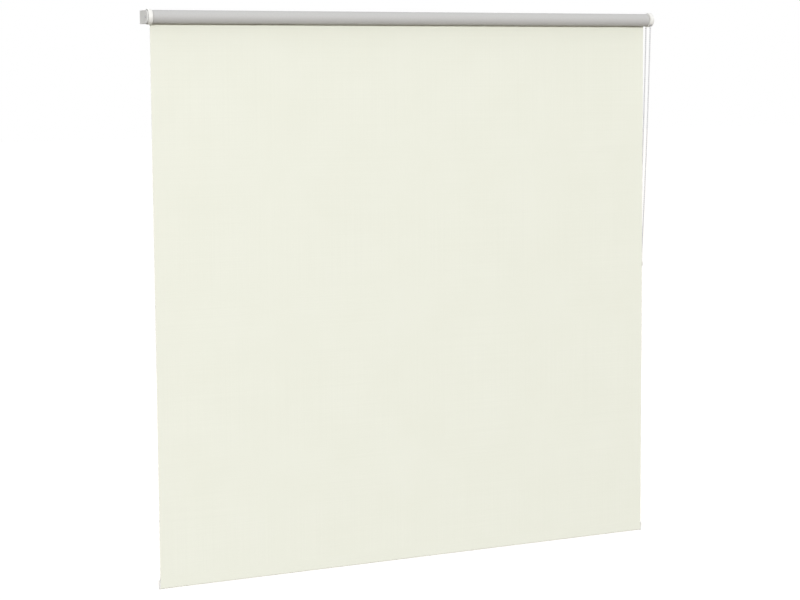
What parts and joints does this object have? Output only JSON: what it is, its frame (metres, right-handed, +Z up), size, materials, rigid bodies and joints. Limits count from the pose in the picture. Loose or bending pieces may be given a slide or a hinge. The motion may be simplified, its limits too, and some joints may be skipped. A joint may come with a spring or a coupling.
{
  "type": "roller blind",
  "caption": "Chain-driven blackout roller blind on two wall brackets, with a round cover at each end, a hemmed bottom bar and a wall-fixed chain tensioner.",
  "frame": {"origin": "on the wall's face, midway between the two brackets, level with the roller's axis", "axes": "+X to the right along the roller, towards the chain; +Y into the wall; +Z up"},
  "size_m": [1.4943, 0.0977, 1.5032],
  "materials": {
    "bracket_steel": "light grey powder coat",
    "screw_steel": "zinc plated",
    "pin_steel": "turned",
    "spring_steel": "drawn wire",
    "white_plastic": "satin moulded",
    "clutch_plastic": "moulded acetal",
    "chain_plastic": "moulded on a cord",
    "aluminium": "extruded",
    "tape": "plain",
    "cloth_front": "coated, cream",
    "cloth_back": "coated, silver grey"
  },
  "bodies": {
    "frame": {"left_bracket": "bracket_steel", "left_bracket_screw_upper": "screw_steel", "left_bracket_screw_lower": "screw_steel", "left_end_cover": "white_plastic", "idle_bush": "clutch_plastic", "clutch_cover": "white_plastic", "clutch_housing": "white_plastic", "retaining_washer": "screw_steel", "core_screw": "screw_steel", "right_bracket": "bracket_steel", "right_bracket_screw_upper": "screw_steel", "right_bracket_screw_lower": "screw_steel", "bead_chain": "chain_plastic", "tensioner_body": "white_plastic", "tensioner_pin": "pin_steel", "tensioner_screw_upper": "screw_steel", "tensioner_screw_lower": "screw_steel", "fabric_drop": "cloth_front"},
    "roller": {"roller_tube": "aluminium", "fixing_tape": "tape", "fabric_roll": "cloth_back", "idle_plug": "clutch_plastic", "spring_cap": "clutch_plastic", "idle_spring": "spring_steel", "clutch_hub": "clutch_plastic", "sprocket": "clutch_plastic", "wrap_spring_outer": "spring_steel", "wrap_spring_inner": "spring_steel"},
    "idle_pin": {"idle_pin": "pin_steel"},
    "bottom_bar": {"bottom_bar": "aluminium", "fabric_hem": "cloth_front", "bar_cap_left": "white_plastic", "bar_cap_right": "white_plastic"},
    "tensioner_pulley": {"tensioner_pulley": "clutch_plastic"}
  },
  "joints": [
    {"name": "roller_spin", "type": "hinge", "parent": "frame", "child": "roller", "pos_m": [0, -0.055, 0], "axis": [1, 0, 0], "range_deg": [0, 4110], "deforming": ["bead_chain"]},
    {"name": "bar_lift", "type": "slide", "parent": "frame", "child": "bottom_bar", "axis": [0, 0, 1], "range_m": [0, 1.4204], "deforming": ["fabric_drop"]},
    {"name": "tensioner_pulley_spin", "type": "hinge", "parent": "frame", "child": "tensioner_pulley", "pos_m": [0, -0.016, -0.7], "axis": [1, 0, 0], "range_deg": [0, 5888]},
    {"name": "idle_pin_retract", "type": "slide", "parent": "roller", "child": "idle_pin", "axis": [1, 0, 0], "range_m": [0, 0.009], "stiffness_N_per_m": 500, "springref_m": -0.01, "deforming": ["idle_spring"]}
  ],
  "couplings": [
    {"joint": "bar_lift", "follows": "roller_spin", "m_per_rad": 0.0198},
    {"joint": "tensioner_pulley_spin", "follows": "roller_spin", "ratio": 1.4324}
  ]
}
